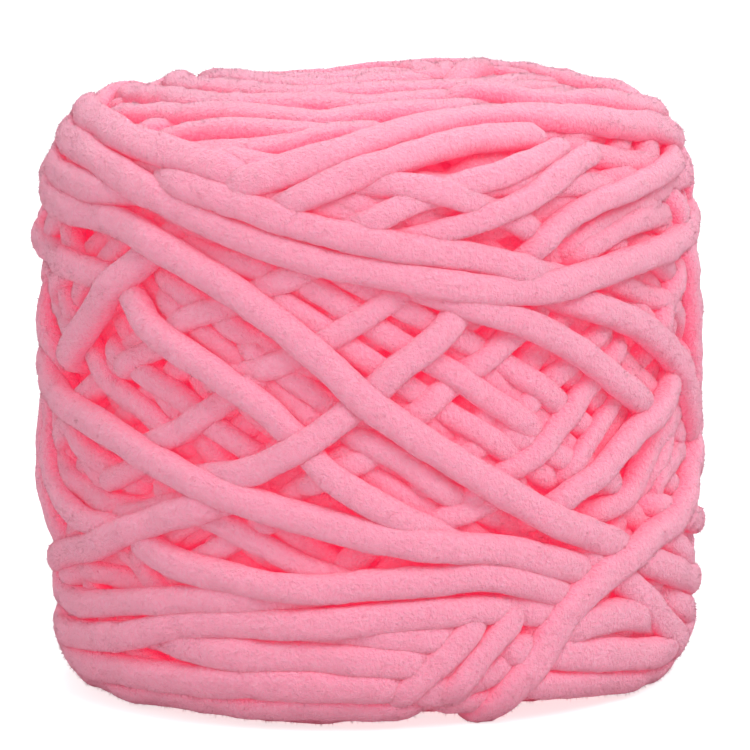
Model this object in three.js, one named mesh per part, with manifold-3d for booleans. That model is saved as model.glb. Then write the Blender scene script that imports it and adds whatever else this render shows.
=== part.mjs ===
// A ball of thick plush yarn, as a ball winder leaves it: a barrel with round shoulders, standing on
// its flat end. Millimetres, +Z up, origin at the middle of the flat underside, front towards -Y.
// The ball is one solid: the barrel that the yarn fills, and the main outer turns that cross it.
import * as THREE from "three";
import { mergeVertices } from "three/addons/utils/BufferGeometryUtils.js";
import Module from "manifold-3d";

const wasm = await Module();
wasm.setup();

// Driving dimensions.
const YARN_DIAMETER = 5;
const BALL_HEIGHT = 102;
const BALL_RADIUS = 56;
const TURN_PROUD = 2.1; // how far an outer turn stands out of the barrel
const WALL_BELLY = 1.6; // how much fuller the barrel is at the middle of its wall
const FOOT_INSET = 11; // flat underside to wall, across
const FOOT_RISE = 10; // flat underside to wall, up
const SHOULDER_INSET = 13; // wall to dome, across
const SHOULDER_RISE = 18; // wall to dome, up
const DOME_RISE = 5;
const HOLLOW_RADIUS = 9; // the dip that the winder's spindle leaves in the dome
const HOLLOW_DEPTH = 2.5;

// How finely the curves are stepped.
const BARREL_SIDES = 48;
const CORNER_STEPS = 6;
const WALL_STEPS = 6;
const DOME_STEPS = 4;
const TURN_ARC_POINTS = 4; // in each half of a turn's round section
const TURN_STEP = 8;
const SLIVER = 0.02; // the union's crumbs below this size are collapsed

// Worked out from the sizes above.
const WALL_RADIUS = BALL_RADIUS - TURN_PROUD - WALL_BELLY;
const SHOULDER_START = BALL_HEIGHT - DOME_RISE - SHOULDER_RISE;
const DOME_RADIUS = WALL_RADIUS - SHOULDER_INSET;
const TURN_LIFT = TURN_PROUD - YARN_DIAMETER / 2; // a turn's middle, out from the barrel
const TUCK_DEPTH = YARN_DIAMETER; // how deep a turn's two ends go in, under later turns
const TUCK_LENGTH = 2 * YARN_DIAMETER;

// The main outer turns, in winding order. Each goes from left to right past these places on the
// barrel: its azimuth in degrees (0 at the front, 90 at the right, 180 at the back) and its height.
const OUTER_TURNS = [
  {
    name: "top rim turn",
    azimuth: [-148, -110, -75, -57, -37, -20],
    height: [85, 92, 95, 95, 92, 89],
  },
  {
    name: "turn rising over the shoulder",
    azimuth: [-22, -10, 0, 12, 40, 60, 80, 110, 135, 157],
    height: [88, 92, 95, 96, 96, 94, 91, 86, 80, 75],
  },
  {
    name: "band's upper turn",
    azimuth: [-43, -31, -20, -10, 0, 10, 20, 33],
    height: [89, 88, 86, 83, 80, 78, 76, 72],
  },
  {
    name: "left rising turn",
    azimuth: [-68, -62, -57, -51, -46, -40],
    height: [53, 58, 62, 67, 71, 77],
  },
  {
    name: "second diagonal turn",
    azimuth: [-45, -41, -37, -30, -20, -14, -5, 0, 8],
    height: [72, 66, 63, 59, 55, 50, 42, 39, 33],
  },
  {
    name: "right falling turn",
    azimuth: [18, 25, 30, 35, 40, 45, 52],
    height: [68, 66, 64, 61, 58, 54, 50],
  },
  {
    name: "right rising turn",
    azimuth: [33, 39, 44, 48, 53, 61],
    height: [35, 39, 42, 46, 49, 54],
  },
  {
    name: "rising turn at the back",
    azimuth: [128, 160, 190, 220, 250],
    height: [25, 38, 54, 70, 83],
  },
  {
    name: "falling turn at the back",
    azimuth: [95, 120, 150, 180, 210, 242],
    height: [77, 66, 50, 36, 27, 23],
  },
  {
    name: "bottom turn",
    azimuth: [-166, -140, -110, -80, -68, -58, -40, -20, -12],
    height: [15, 21, 24, 22, 18, 18, 20, 22, 23],
  },
  {
    name: "far right falling turn",
    azimuth: [34, 40, 45, 50, 55, 60, 67, 78, 100, 130, 160, 190, 215],
    height: [69, 67, 65, 62, 59, 55, 47, 38, 30, 24, 19, 14, 6],
  },
  {
    name: "main diagonal turn",
    azimuth: [-150, -110, -85, -70, -50, -40, -30, -20, -10, 0, 10, 20, 30, 40, 50, 75, 95, 115],
    height: [86, 87, 85, 82, 81, 78, 75, 70, 63, 54, 46, 40, 34, 29, 27, 25, 26, 28],
  },
  {
    name: "lower turn",
    azimuth: [-46, -37, -30, -20, 0, 10, 23],
    height: [31, 28, 26, 25, 25, 25, 28],
  },
  {
    name: "low diagonal turn",
    azimuth: [-165, -120, -90, -70, -50, -40, -30, -10, 0, 10, 20, 30, 38],
    height: [84, 71, 60, 54, 49, 44, 41, 36, 33, 31, 29, 26, 24],
  },
  {
    name: "band's lower turn",
    azimuth: [-185, -130, -100, -75, -60, -42, -24, -10, 0, 10, 20, 30, 40, 60, 90, 125, 175],
    height: [83, 89, 91, 92, 91, 87, 81, 77, 75, 73, 71, 71, 72, 74, 76, 80, 84],
  },
  {
    name: "crossing turn at the lower right",
    azimuth: [17, 25, 28, 35, 40, 50, 63, 78, 100, 130, 155, 175, 200],
    height: [2, 8, 14, 21, 24, 27, 31, 39, 50, 64, 76, 85, 93],
  },
];

// A three.js geometry, which must be closed, as a manifold-3d solid.
function solidFrom(geometry) {
  const bare = geometry.clone();
  bare.deleteAttribute("normal");
  bare.deleteAttribute("uv");
  const merged = mergeVertices(bare, 1e-4);
  return new wasm.Manifold(
    new wasm.Mesh({
      numProp: 3,
      vertProperties: merged.attributes.position.array,
      triVerts: new Uint32Array(merged.index.array),
    }),
  );
}

// A manifold-3d solid as a three.js geometry with flat faces.
function geometryFrom(solid) {
  const mesh = solid.getMesh();
  const geometry = new THREE.BufferGeometry();
  geometry.setAttribute("position", new THREE.BufferAttribute(mesh.vertProperties, 3));
  geometry.setIndex(new THREE.BufferAttribute(mesh.triVerts, 1));
  const faceted = geometry.toNonIndexed();
  faceted.computeVertexNormals();
  return faceted;
}

// How far a quarter ellipse has drawn in, as a share of its inset, at a share of its rise.
const drawnIn = (share) => 1 - Math.sqrt(1 - share * share);

// The barrel's radius at a height between its underside and the start of its dome.
function barrelRadius(height) {
  if (height < FOOT_RISE) return WALL_RADIUS - FOOT_INSET * drawnIn(1 - height / FOOT_RISE);
  if (height > SHOULDER_START) {
    return WALL_RADIUS - SHOULDER_INSET * drawnIn((height - SHOULDER_START) / SHOULDER_RISE);
  }
  const share = (height - FOOT_RISE) / (SHOULDER_START - FOOT_RISE);
  return WALL_RADIUS + WALL_BELLY * 4 * share * (1 - share);
}

// Half of the barrel's section, from the middle of its underside up to the hollow in its dome.
function barrelProfile() {
  const points = [new THREE.Vector2(0, 0)];
  for (let i = 0; i <= CORNER_STEPS; i++) {
    const height = FOOT_RISE * (1 - Math.cos((i / CORNER_STEPS) * (Math.PI / 2)));
    points.push(new THREE.Vector2(barrelRadius(height), height));
  }
  for (let i = 1; i < WALL_STEPS; i++) {
    const height = THREE.MathUtils.lerp(FOOT_RISE, SHOULDER_START, i / WALL_STEPS);
    points.push(new THREE.Vector2(barrelRadius(height), height));
  }
  for (let i = 0; i <= CORNER_STEPS; i++) {
    const height = SHOULDER_START + SHOULDER_RISE * Math.sin((i / CORNER_STEPS) * (Math.PI / 2));
    points.push(new THREE.Vector2(barrelRadius(height), height));
  }
  for (let i = 1; i <= DOME_STEPS; i++) {
    const radius = THREE.MathUtils.lerp(DOME_RADIUS, HOLLOW_RADIUS, i / DOME_STEPS);
    const fall = (radius - HOLLOW_RADIUS) / (DOME_RADIUS - HOLLOW_RADIUS);
    points.push(new THREE.Vector2(radius, BALL_HEIGHT - DOME_RISE * fall * fall));
  }
  points.push(new THREE.Vector2(0, BALL_HEIGHT - HOLLOW_DEPTH));
  return points;
}

function makeBarrel() {
  const barrel = new THREE.LatheGeometry(barrelProfile(), BARREL_SIDES);
  barrel.rotateX(Math.PI / 2);
  return solidFrom(barrel);
}

// The place on the barrel at an angle from the front, in radians, and a height, moved out along
// the barrel's normal.
function onBarrel(angle, height, lift) {
  const slope = barrelRadius(height + 0.5) - barrelRadius(height - 0.5);
  const outward = new THREE.Vector2(1, -slope).normalize();
  const radius = barrelRadius(height) + lift * outward.x;
  return new THREE.Vector3(
    radius * Math.sin(angle),
    -radius * Math.cos(angle),
    height + lift * outward.y,
  );
}

// One outer turn as a closed tube half sunk in the barrel, its two ends tucked in.
function makeTurn({ azimuth, height }) {
  const unrolled = new THREE.CatmullRomCurve3(
    azimuth.map((angle, i) => {
      const along = THREE.MathUtils.degToRad(angle) * BALL_RADIUS;
      return new THREE.Vector3(along, height[i], 0);
    }),
  );
  const length = unrolled.getLength();
  const steps = Math.ceil(length / TURN_STEP);
  const places = unrolled.getSpacedPoints(steps).map((place, i) => {
    const fromEnd = Math.min(i, steps - i) * (length / steps);
    const tucked = 1 - THREE.MathUtils.smoothstep(fromEnd, 0, TUCK_LENGTH);
    const lift = THREE.MathUtils.lerp(TURN_LIFT, -TUCK_DEPTH, tucked);
    return onBarrel(place.x / BALL_RADIUS, place.y, lift);
  });
  const section = new THREE.Shape();
  section.absarc(0, 0, YARN_DIAMETER / 2, 0, Math.PI * 2);
  const tube = new THREE.ExtrudeGeometry(section, {
    steps,
    curveSegments: TURN_ARC_POINTS,
    extrudePath: new THREE.CatmullRomCurve3(places),
  });
  return solidFrom(tube);
}

function makeBall() {
  let ball = makeBarrel();
  for (const turn of OUTER_TURNS) ball = ball.add(makeTurn(turn));
  return ball.simplify(SLIVER);
}

const plush = new THREE.MeshStandardMaterial({
  name: "plush yarn",
  color: new THREE.Color().setRGB(0.96, 0.36, 0.47),
  roughness: 0.95,
  metalness: 0,
});

const yarnBall = new THREE.Mesh(geometryFrom(makeBall()), plush);
yarnBall.name = "yarn_ball";

const group = new THREE.Group();
group.add(yarnBall);

export default group;
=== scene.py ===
# %% [markdown]
# # A ball of thick plush yarn
#
# The real thing is one long strand of plush yarn, about 5 mm thick, wound into a barrel that stands
# on its flat end. Its looks are all in the winding: loops that climb and fall round the barrel,
# cross each other, and press into each other because plush is soft. This lesson lays the strands one
# after another, as the winding machine does, lets each settle on those below it, and then gives them
# thickness and a velvet finish.

import math

import bpy
import numpy as np
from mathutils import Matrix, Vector, kdtree
from mathutils.bvhtree import BVHTree


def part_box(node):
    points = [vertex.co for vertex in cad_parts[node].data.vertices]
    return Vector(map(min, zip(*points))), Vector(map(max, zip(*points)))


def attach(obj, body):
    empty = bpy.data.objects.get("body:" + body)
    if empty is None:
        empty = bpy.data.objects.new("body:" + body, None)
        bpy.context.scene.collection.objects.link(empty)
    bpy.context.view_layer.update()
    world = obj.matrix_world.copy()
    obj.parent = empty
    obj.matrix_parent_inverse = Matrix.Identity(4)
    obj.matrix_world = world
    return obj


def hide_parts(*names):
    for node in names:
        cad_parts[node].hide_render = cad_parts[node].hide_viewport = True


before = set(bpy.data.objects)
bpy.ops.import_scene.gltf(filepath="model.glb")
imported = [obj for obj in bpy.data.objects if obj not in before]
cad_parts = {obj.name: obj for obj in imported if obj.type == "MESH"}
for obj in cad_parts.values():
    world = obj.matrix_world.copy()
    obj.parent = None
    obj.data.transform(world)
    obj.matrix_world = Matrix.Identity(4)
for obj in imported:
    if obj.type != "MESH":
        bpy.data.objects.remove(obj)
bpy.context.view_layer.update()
MM = 0.001
low, high = (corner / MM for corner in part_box("yarn_ball"))
print("the modelled ball, in mm:", [round(side, 1) for side in high - low])

# %% [markdown]
# ## The camera
#
# It looks slightly down on the ball from a metre away, through a long lens, so the barrel's sides
# stay nearly straight and only a thin slice of the top shows. A turn of one degree about its own
# line of sight makes the ball lean a touch, as it does when the table isn't quite level in the frame.

# %% Place the camera
CAMERA_DISTANCE = 1.0
CAMERA_ELEVATION = math.radians(9.5)
CAMERA_ROLL = math.radians(0.98)
CAMERA_LENS = 289
AIM = Vector((0.0006, 0, 0.0493))


def point_at(thing, place, aim, roll=0.0):
    """Moves a camera or a lamp to a place and turns it to face a point."""
    thing.location = place
    thing.rotation_mode = "QUATERNION"
    thing.rotation_quaternion = (aim - place).to_track_quat("-Z", "Y")
    thing.rotation_mode = "XYZ"
    thing.rotation_euler.rotate_axis("Z", roll)


bpy.ops.object.camera_add()
camera = bpy.context.object
camera.name = "camera"
camera.data.lens = CAMERA_LENS
camera.data.sensor_width = 36
camera.data.clip_end = 20
back = Vector((0, -math.cos(CAMERA_ELEVATION), math.sin(CAMERA_ELEVATION)))
point_at(camera, AIM + back * CAMERA_DISTANCE, AIM, -CAMERA_ROLL)
bpy.context.scene.camera = camera
print("camera", camera.data.lens, "mm at", [round(c, 3) for c in camera.location])

# %% [markdown]
# ## The shape of the barrel
#
# Every strand lies on, or a little under, one surface: a barrel with a flat underside, a rounded
# foot, a wall that bellies out slightly, a rounder shoulder and a low dome with a dip in its middle.
# It is the same outline that the solid ball was turned from. A place on it needs two numbers: the
# azimuth (0 at the front, 90 at the right, 180 at the back) and how far along the outline it is,
# starting from the middle of the underside. A third, the lift, says how far a strand's middle
# stands out from the surface, or, below zero, how deep it lies.

# %% Work out the outline
HEIGHT = high.z - low.z
WALL_RADIUS = 52.3
WALL_BELLY = 1.6
FOOT_INSET, FOOT_RISE = 11, 10
SHOULDER_INSET, SHOULDER_RISE = 13, 18
DOME_RISE = 5
HOLLOW_RADIUS, HOLLOW_DEPTH = 9, 2.5
SHOULDER_START = HEIGHT - DOME_RISE - SHOULDER_RISE
DOME_RADIUS = WALL_RADIUS - SHOULDER_INSET
FOOT_RADIUS = WALL_RADIUS - FOOT_INSET
CORNER_STEPS, WALL_STEPS, DOME_STEPS = 24, 30, 24
# How many of the outline's steps come before the foot, and before the dome.
FOOT_AT = WALL_STEPS
DOME_AT = FOOT_AT + CORNER_STEPS + WALL_STEPS + CORNER_STEPS


def outline():
    """Half of the barrel's section as radii and heights, from the middle below to the middle above."""
    turn = np.linspace(0, math.pi / 2, CORNER_STEPS + 1)
    share = np.linspace(0, 1, WALL_STEPS + 1)
    inward = np.linspace(DOME_RADIUS, HOLLOW_RADIUS, DOME_STEPS + 1)
    fall = (inward - HOLLOW_RADIUS) / (DOME_RADIUS - HOLLOW_RADIUS)
    wall_rise = SHOULDER_START - FOOT_RISE
    parts = [
        (share * FOOT_RADIUS, share * 0),
        (FOOT_RADIUS + FOOT_INSET * np.sin(turn), FOOT_RISE * (1 - np.cos(turn))),
        (WALL_RADIUS + WALL_BELLY * 4 * share * (1 - share), FOOT_RISE + wall_rise * share),
        (DOME_RADIUS + SHOULDER_INSET * np.cos(turn), SHOULDER_START + SHOULDER_RISE * np.sin(turn)),
        (inward, HEIGHT - DOME_RISE * fall**2),
        (HOLLOW_RADIUS * (1 - share), HEIGHT - HOLLOW_DEPTH * share),
    ]
    radii = np.concatenate([parts[0][0]] + [part[0][1:] for part in parts[1:]])
    heights = np.concatenate([parts[0][1]] + [part[1][1:] for part in parts[1:]])
    return radii, heights


RADII, HEIGHTS = outline()
STEPS = np.hypot(np.diff(RADII), np.diff(HEIGHTS))
ALONG = np.concatenate([[0], np.cumsum(STEPS)])
SLOPE_R = np.gradient(RADII, ALONG)
SLOPE_Z = np.gradient(HEIGHTS, ALONG)
RISING = slice(FOOT_AT, DOME_AT + DOME_STEPS + 1)
MIDDLE = float(np.interp(HEIGHT / 2, HEIGHTS[RISING], ALONG[RISING]))
print("outline", round(ALONG[-1], 1), "mm long, its middle at", round(MIDDLE, 1))


def along_at_height(height):
    """How far along the outline a height on the foot, wall, shoulder or dome is."""
    return np.interp(height, HEIGHTS[RISING], ALONG[RISING])


def along_at_radius(radius):
    """How far along the outline a radius on the dome is."""
    return np.interp(radius, RADII[DOME_AT:][::-1], ALONG[DOME_AT:][::-1])


def on_ball(azimuth, along, lift=0.0):
    """Places and outward directions on the barrel, in mm, for azimuths in degrees."""
    turn = np.radians(azimuth)
    radius = np.interp(along, ALONG, RADII)
    height = np.interp(along, ALONG, HEIGHTS)
    out_r = np.interp(along, ALONG, SLOPE_Z)
    out_z = -np.interp(along, ALONG, SLOPE_R)
    size = np.hypot(out_r, out_z)
    out_r, out_z = out_r / size, out_z / size
    radius = radius + lift * out_r
    place = np.stack([radius * np.sin(turn), -radius * np.cos(turn), height + lift * out_z], axis=-1)
    outward = np.stack([out_r * np.sin(turn), -out_r * np.cos(turn), out_z], axis=-1)
    return place, outward


# %% [markdown]
# ## Laying a strand
#
# A strand is kept as a row of evenly spaced stations, each an azimuth and a place along the outline.
# The strands are kept in the order they are laid, because a later one always lies over an earlier
# one. A loose row of guide points becomes a smooth path with a Catmull-Rom curve, which passes
# through every guide point. The two ends of a strand that isn't a closed loop dive into the ball,
# where the rest of the yarn hides them.

# %% How a strand is laid
YARN = 4.65  # the strand's thickness, before anything presses it
DIVE_DEPTH = 7.0
DIVE_LENGTH, BLUNT_LENGTH = 6.5, 3.0  # the length over which an end dives, and a blunt end
LAYERS = {
    # name: (spacing of stations, natural, highest and lowest lift, sides, thickness, give), where give
    # is how far apart two crossing strands' middles stay, as a share of the yarn
    "heart": (4.0, -12.0, -8.5, -30.0, 8, 1.15, 0.65),
    "under": (3.2, -7.8, -5.2, -26.0, 10, 1.05, 0.65),
    "lattice": (2.0, -1.8, -0.4, -22.0, 14, 0.96, 0.6),
    "dome": (1.8, -3.2, -1.8, -14.0, 14, 1.0, 0.6),
    "underside": (2.0, -2.4, -1.0, -14.0, 14, 1.0, 0.65),
    "woven": (1.1, -3.3, -1.9, -12.0, 18, 0.86, 0.45),
    "outer": (1.0, -0.6, 0.4, -5.0, 20, 1.0, 0.62),
}
strands = []
rng = np.random.default_rng(5)


def smooth_path(points, per_span=14):
    """A Catmull-Rom path through guide points, as a dense row of points."""
    points = np.asarray(points, float)
    first, last = 2 * points[0] - points[1], 2 * points[-1] - points[-2]
    padded = np.vstack([first, points, last])
    share = np.linspace(0, 1, per_span, endpoint=False)[:, None]
    spans = []
    for a, b, c, d in zip(padded, padded[1:], padded[2:], padded[3:]):
        spans.append(
            0.5 * (2 * b + (c - a) * share + (2 * a - 5 * b + 4 * c - d) * share**2
                   + (3 * b - a - 3 * c + d) * share**3)
        )
    return np.vstack(spans + [points[-1:]])


def lay(layer, azimuth, along, closed=False, width=1.0, blunt=""):
    """Adds one strand, resampled to even stations. A blunt end, left or right, turns down at once."""
    spacing = LAYERS[layer][0]
    place, _ = on_ball(azimuth, along)
    length = np.concatenate([[0], np.cumsum(np.linalg.norm(np.diff(place, axis=0), axis=1))])
    count = max(6, round(length[-1] / spacing))
    stations = np.linspace(0, length[-1], count, endpoint=not closed)
    dive = np.zeros(count)
    if not closed:
        for side, from_end in (("left", stations), ("right", length[-1] - stations)):
            dive_length = BLUNT_LENGTH if side == blunt else DIVE_LENGTH
            dive = np.maximum(dive, DIVE_DEPTH * (1 - np.clip(from_end / dive_length, 0, 1)) ** 2)
    strands.append({
        "layer": layer,
        "azimuth": np.interp(stations, length, azimuth),
        "along": np.interp(stations, length, along),
        "closed": closed,
        "dive": dive,
        "width": width * LAYERS[layer][5],
    })


# %% [markdown]
# ## The dome and the underside
#
# A winding machine leaves a rosette on both ends. Each strand there comes up over the shoulder,
# passes to one side of the middle, and goes down again on the other side, so that nothing ever
# crosses the middle itself and a small hollow stays. How near a strand comes to the middle and the
# side it comes from both change from strand to strand. Steps of the golden angle and the golden
# share do that evenly, because they never repeat.

# %% Lay the rosettes
GOLDEN_SHARE = 0.618034
GOLDEN = 360 * (1 - 1 / 1.618034)
BEND = 0.62  # 0 would be a circle round the middle, and 1 a straight line past it
WAVER = 1.4  # how far a strand strays from that, in mm
NEAREST = 4.5  # no strand comes nearer the middle, in mm
ROSETTES = [
    # layer, strands, nearest and farthest pass from the middle in mm, and where they dive, in mm along
    # the surface from the middle
    ("dome", 46, 8.0, 42.0, 56.0),
    ("underside", 44, 7.0, 46.0, 57.0),
]


def along_from_middle(layer, distance):
    """How far along the outline a distance from the middle of the dome or of the underside is."""
    if layer == "underside":
        return distance
    past = distance - DOME_RADIUS
    return np.where(past < 0, along_at_radius(distance), ALONG_RIM - past)


def lay_rosette(layer, strand_count, nearest, farthest, rim):
    """Lays the strands that cross one end of the ball."""
    for number in range(strand_count):
        share = (number * GOLDEN_SHARE + 0.2) % 1
        passing = nearest + (farthest - nearest) * share
        half = math.degrees(math.acos(passing / rim)) / BEND
        angle = np.linspace(-half, half, 61)
        distance = passing / np.cos(np.radians(BEND * angle))
        distance += rng.uniform(-WAVER, WAVER) * np.sin(np.radians(3 * angle + rng.uniform(0, 360)))
        distance = np.clip(distance, NEAREST, rim)
        along = along_from_middle(layer, distance)
        lay(layer, number * GOLDEN + angle, along, width=rng.uniform(0.95, 1.05))


ALONG_RIM = float(along_at_radius(DOME_RADIUS))
for rosette in ROSETTES:
    before = len(strands)
    lay_rosette(*rosette)
    print(rosette[0], "rosette:", len(strands) - before, "strands")

# %% [markdown]
# At the front of the dome a few longer strands lie on top, one behind the other. They are laid past
# places given by azimuth and radius.

# %% Lay the front of the dome
DOME_STRANDS = [
    # width, then pairs of azimuth in degrees and radius in mm, from left to right
    (1.05, [(-158, 50), (-147, 43), (-134, 36), (-123, 31.5), (-110, 27), (-85, 22), (-62, 20),
     (-40, 20.5), (-20, 21), (0, 19), (20, 16.5), (45, 14), (75, 13.5), (105, 17), (128, 24), (144, 33),
     (153, 43)]),
    (1, [(-158, 55), (-145, 48), (-131, 41), (-118, 36), (-92, 30), (-68, 26), (-47, 25), (-28, 26),
     (-10, 25), (10, 23.8), (30, 24.3), (50, 26), (70, 25), (95, 27), (112, 33), (125, 43)]),
    (1.05, [(-122, 51), (-112, 44), (-100, 39), (-78, 33.5), (-60, 32.5), (-44, 32), (-28, 30.5),
     (-12, 29.5), (2, 31), (16, 29), (32, 28.7), (48, 33.2), (66, 34.5), (84, 33.5), (104, 36),
     (118, 44)]),
    (1, [(-92, 51), (-78, 44), (-64, 39), (-50, 36.5), (-38, 35), (-24, 35.5), (-12, 36.8), (0, 34.2),
     (12, 33), (24, 34), (38, 32), (54, 29), (72, 29.5), (90, 33), (106, 41)]),
    (1, [(-56, 50), (-47, 45), (-38, 41.7), (-27, 40.5), (-14, 40.3), (-2, 39), (12, 39.6), (24, 37.8),
     (34, 37), (44, 41), (56, 42), (72, 40), (90, 39), (104, 46)]),
]
for width, guides in DOME_STRANDS:
    path = smooth_path(guides)
    lay("dome", path[:, 0], along_from_middle("dome", path[:, 1]), width=width)
print(len(DOME_STRANDS), "strands at the front of the dome")

# %% [markdown]
# ## The loops
#
# The body of the ball is closed loops. The machine winds them tilted, so each climbs one side,
# turns over at the shoulder, falls down the other side and turns again at the foot. Half way up
# they cross in a lattice at about 40 degrees. The loops are laid in three layers. The deepest only
# fills the gaps, so it is coarse. The number of loops follows from the spacing that plush yarn
# leaves between neighbours.

# %% Lay the loops
LOOP_LAYERS = [
    # layer, gap between neighbours, smallest and largest climb from the middle of the wall
    ("heart", 9.0, 22, 46),
    ("under", 7.4, 28, 50),
    ("lattice", 6.2, 32, 54),
]
LOOP_STRAY = 1.5  # how far the middle of a loop strays from the middle of the wall, in mm
LOOP_WAVES = [(2, 1.3), (3, 0.9)]  # how many waves in one turn, and their greatest height in mm


def lay_loops(layer, gap, least, most):
    """Lays one layer of tilted loops round the whole ball."""
    depth = LAYERS[layer][1]
    around = 2 * math.pi * (WALL_RADIUS + depth)
    slope = math.atan((least + most) / 2 / (WALL_RADIUS + depth))
    count = round(around / (gap / math.sin(slope)))
    turn = np.linspace(0, 360, 181)
    for number in range(count):
        highest_at = number * GOLDEN + rng.uniform(-4, 4)
        climb = least + (most - least) * ((number * GOLDEN_SHARE + 0.3) % 1)
        angle = np.radians(turn - highest_at)
        along = MIDDLE + rng.uniform(-LOOP_STRAY, LOOP_STRAY) + climb * np.cos(angle)
        for waves, highest in LOOP_WAVES:
            along += rng.uniform(-highest, highest) * np.cos(waves * angle + rng.uniform(0, 6))
        lay(layer, turn, along, closed=True, width=rng.uniform(0.96, 1.06))
    return count


for loops in LOOP_LAYERS:
    print(loops[0], "layer:", lay_loops(*loops), "loops")
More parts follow.
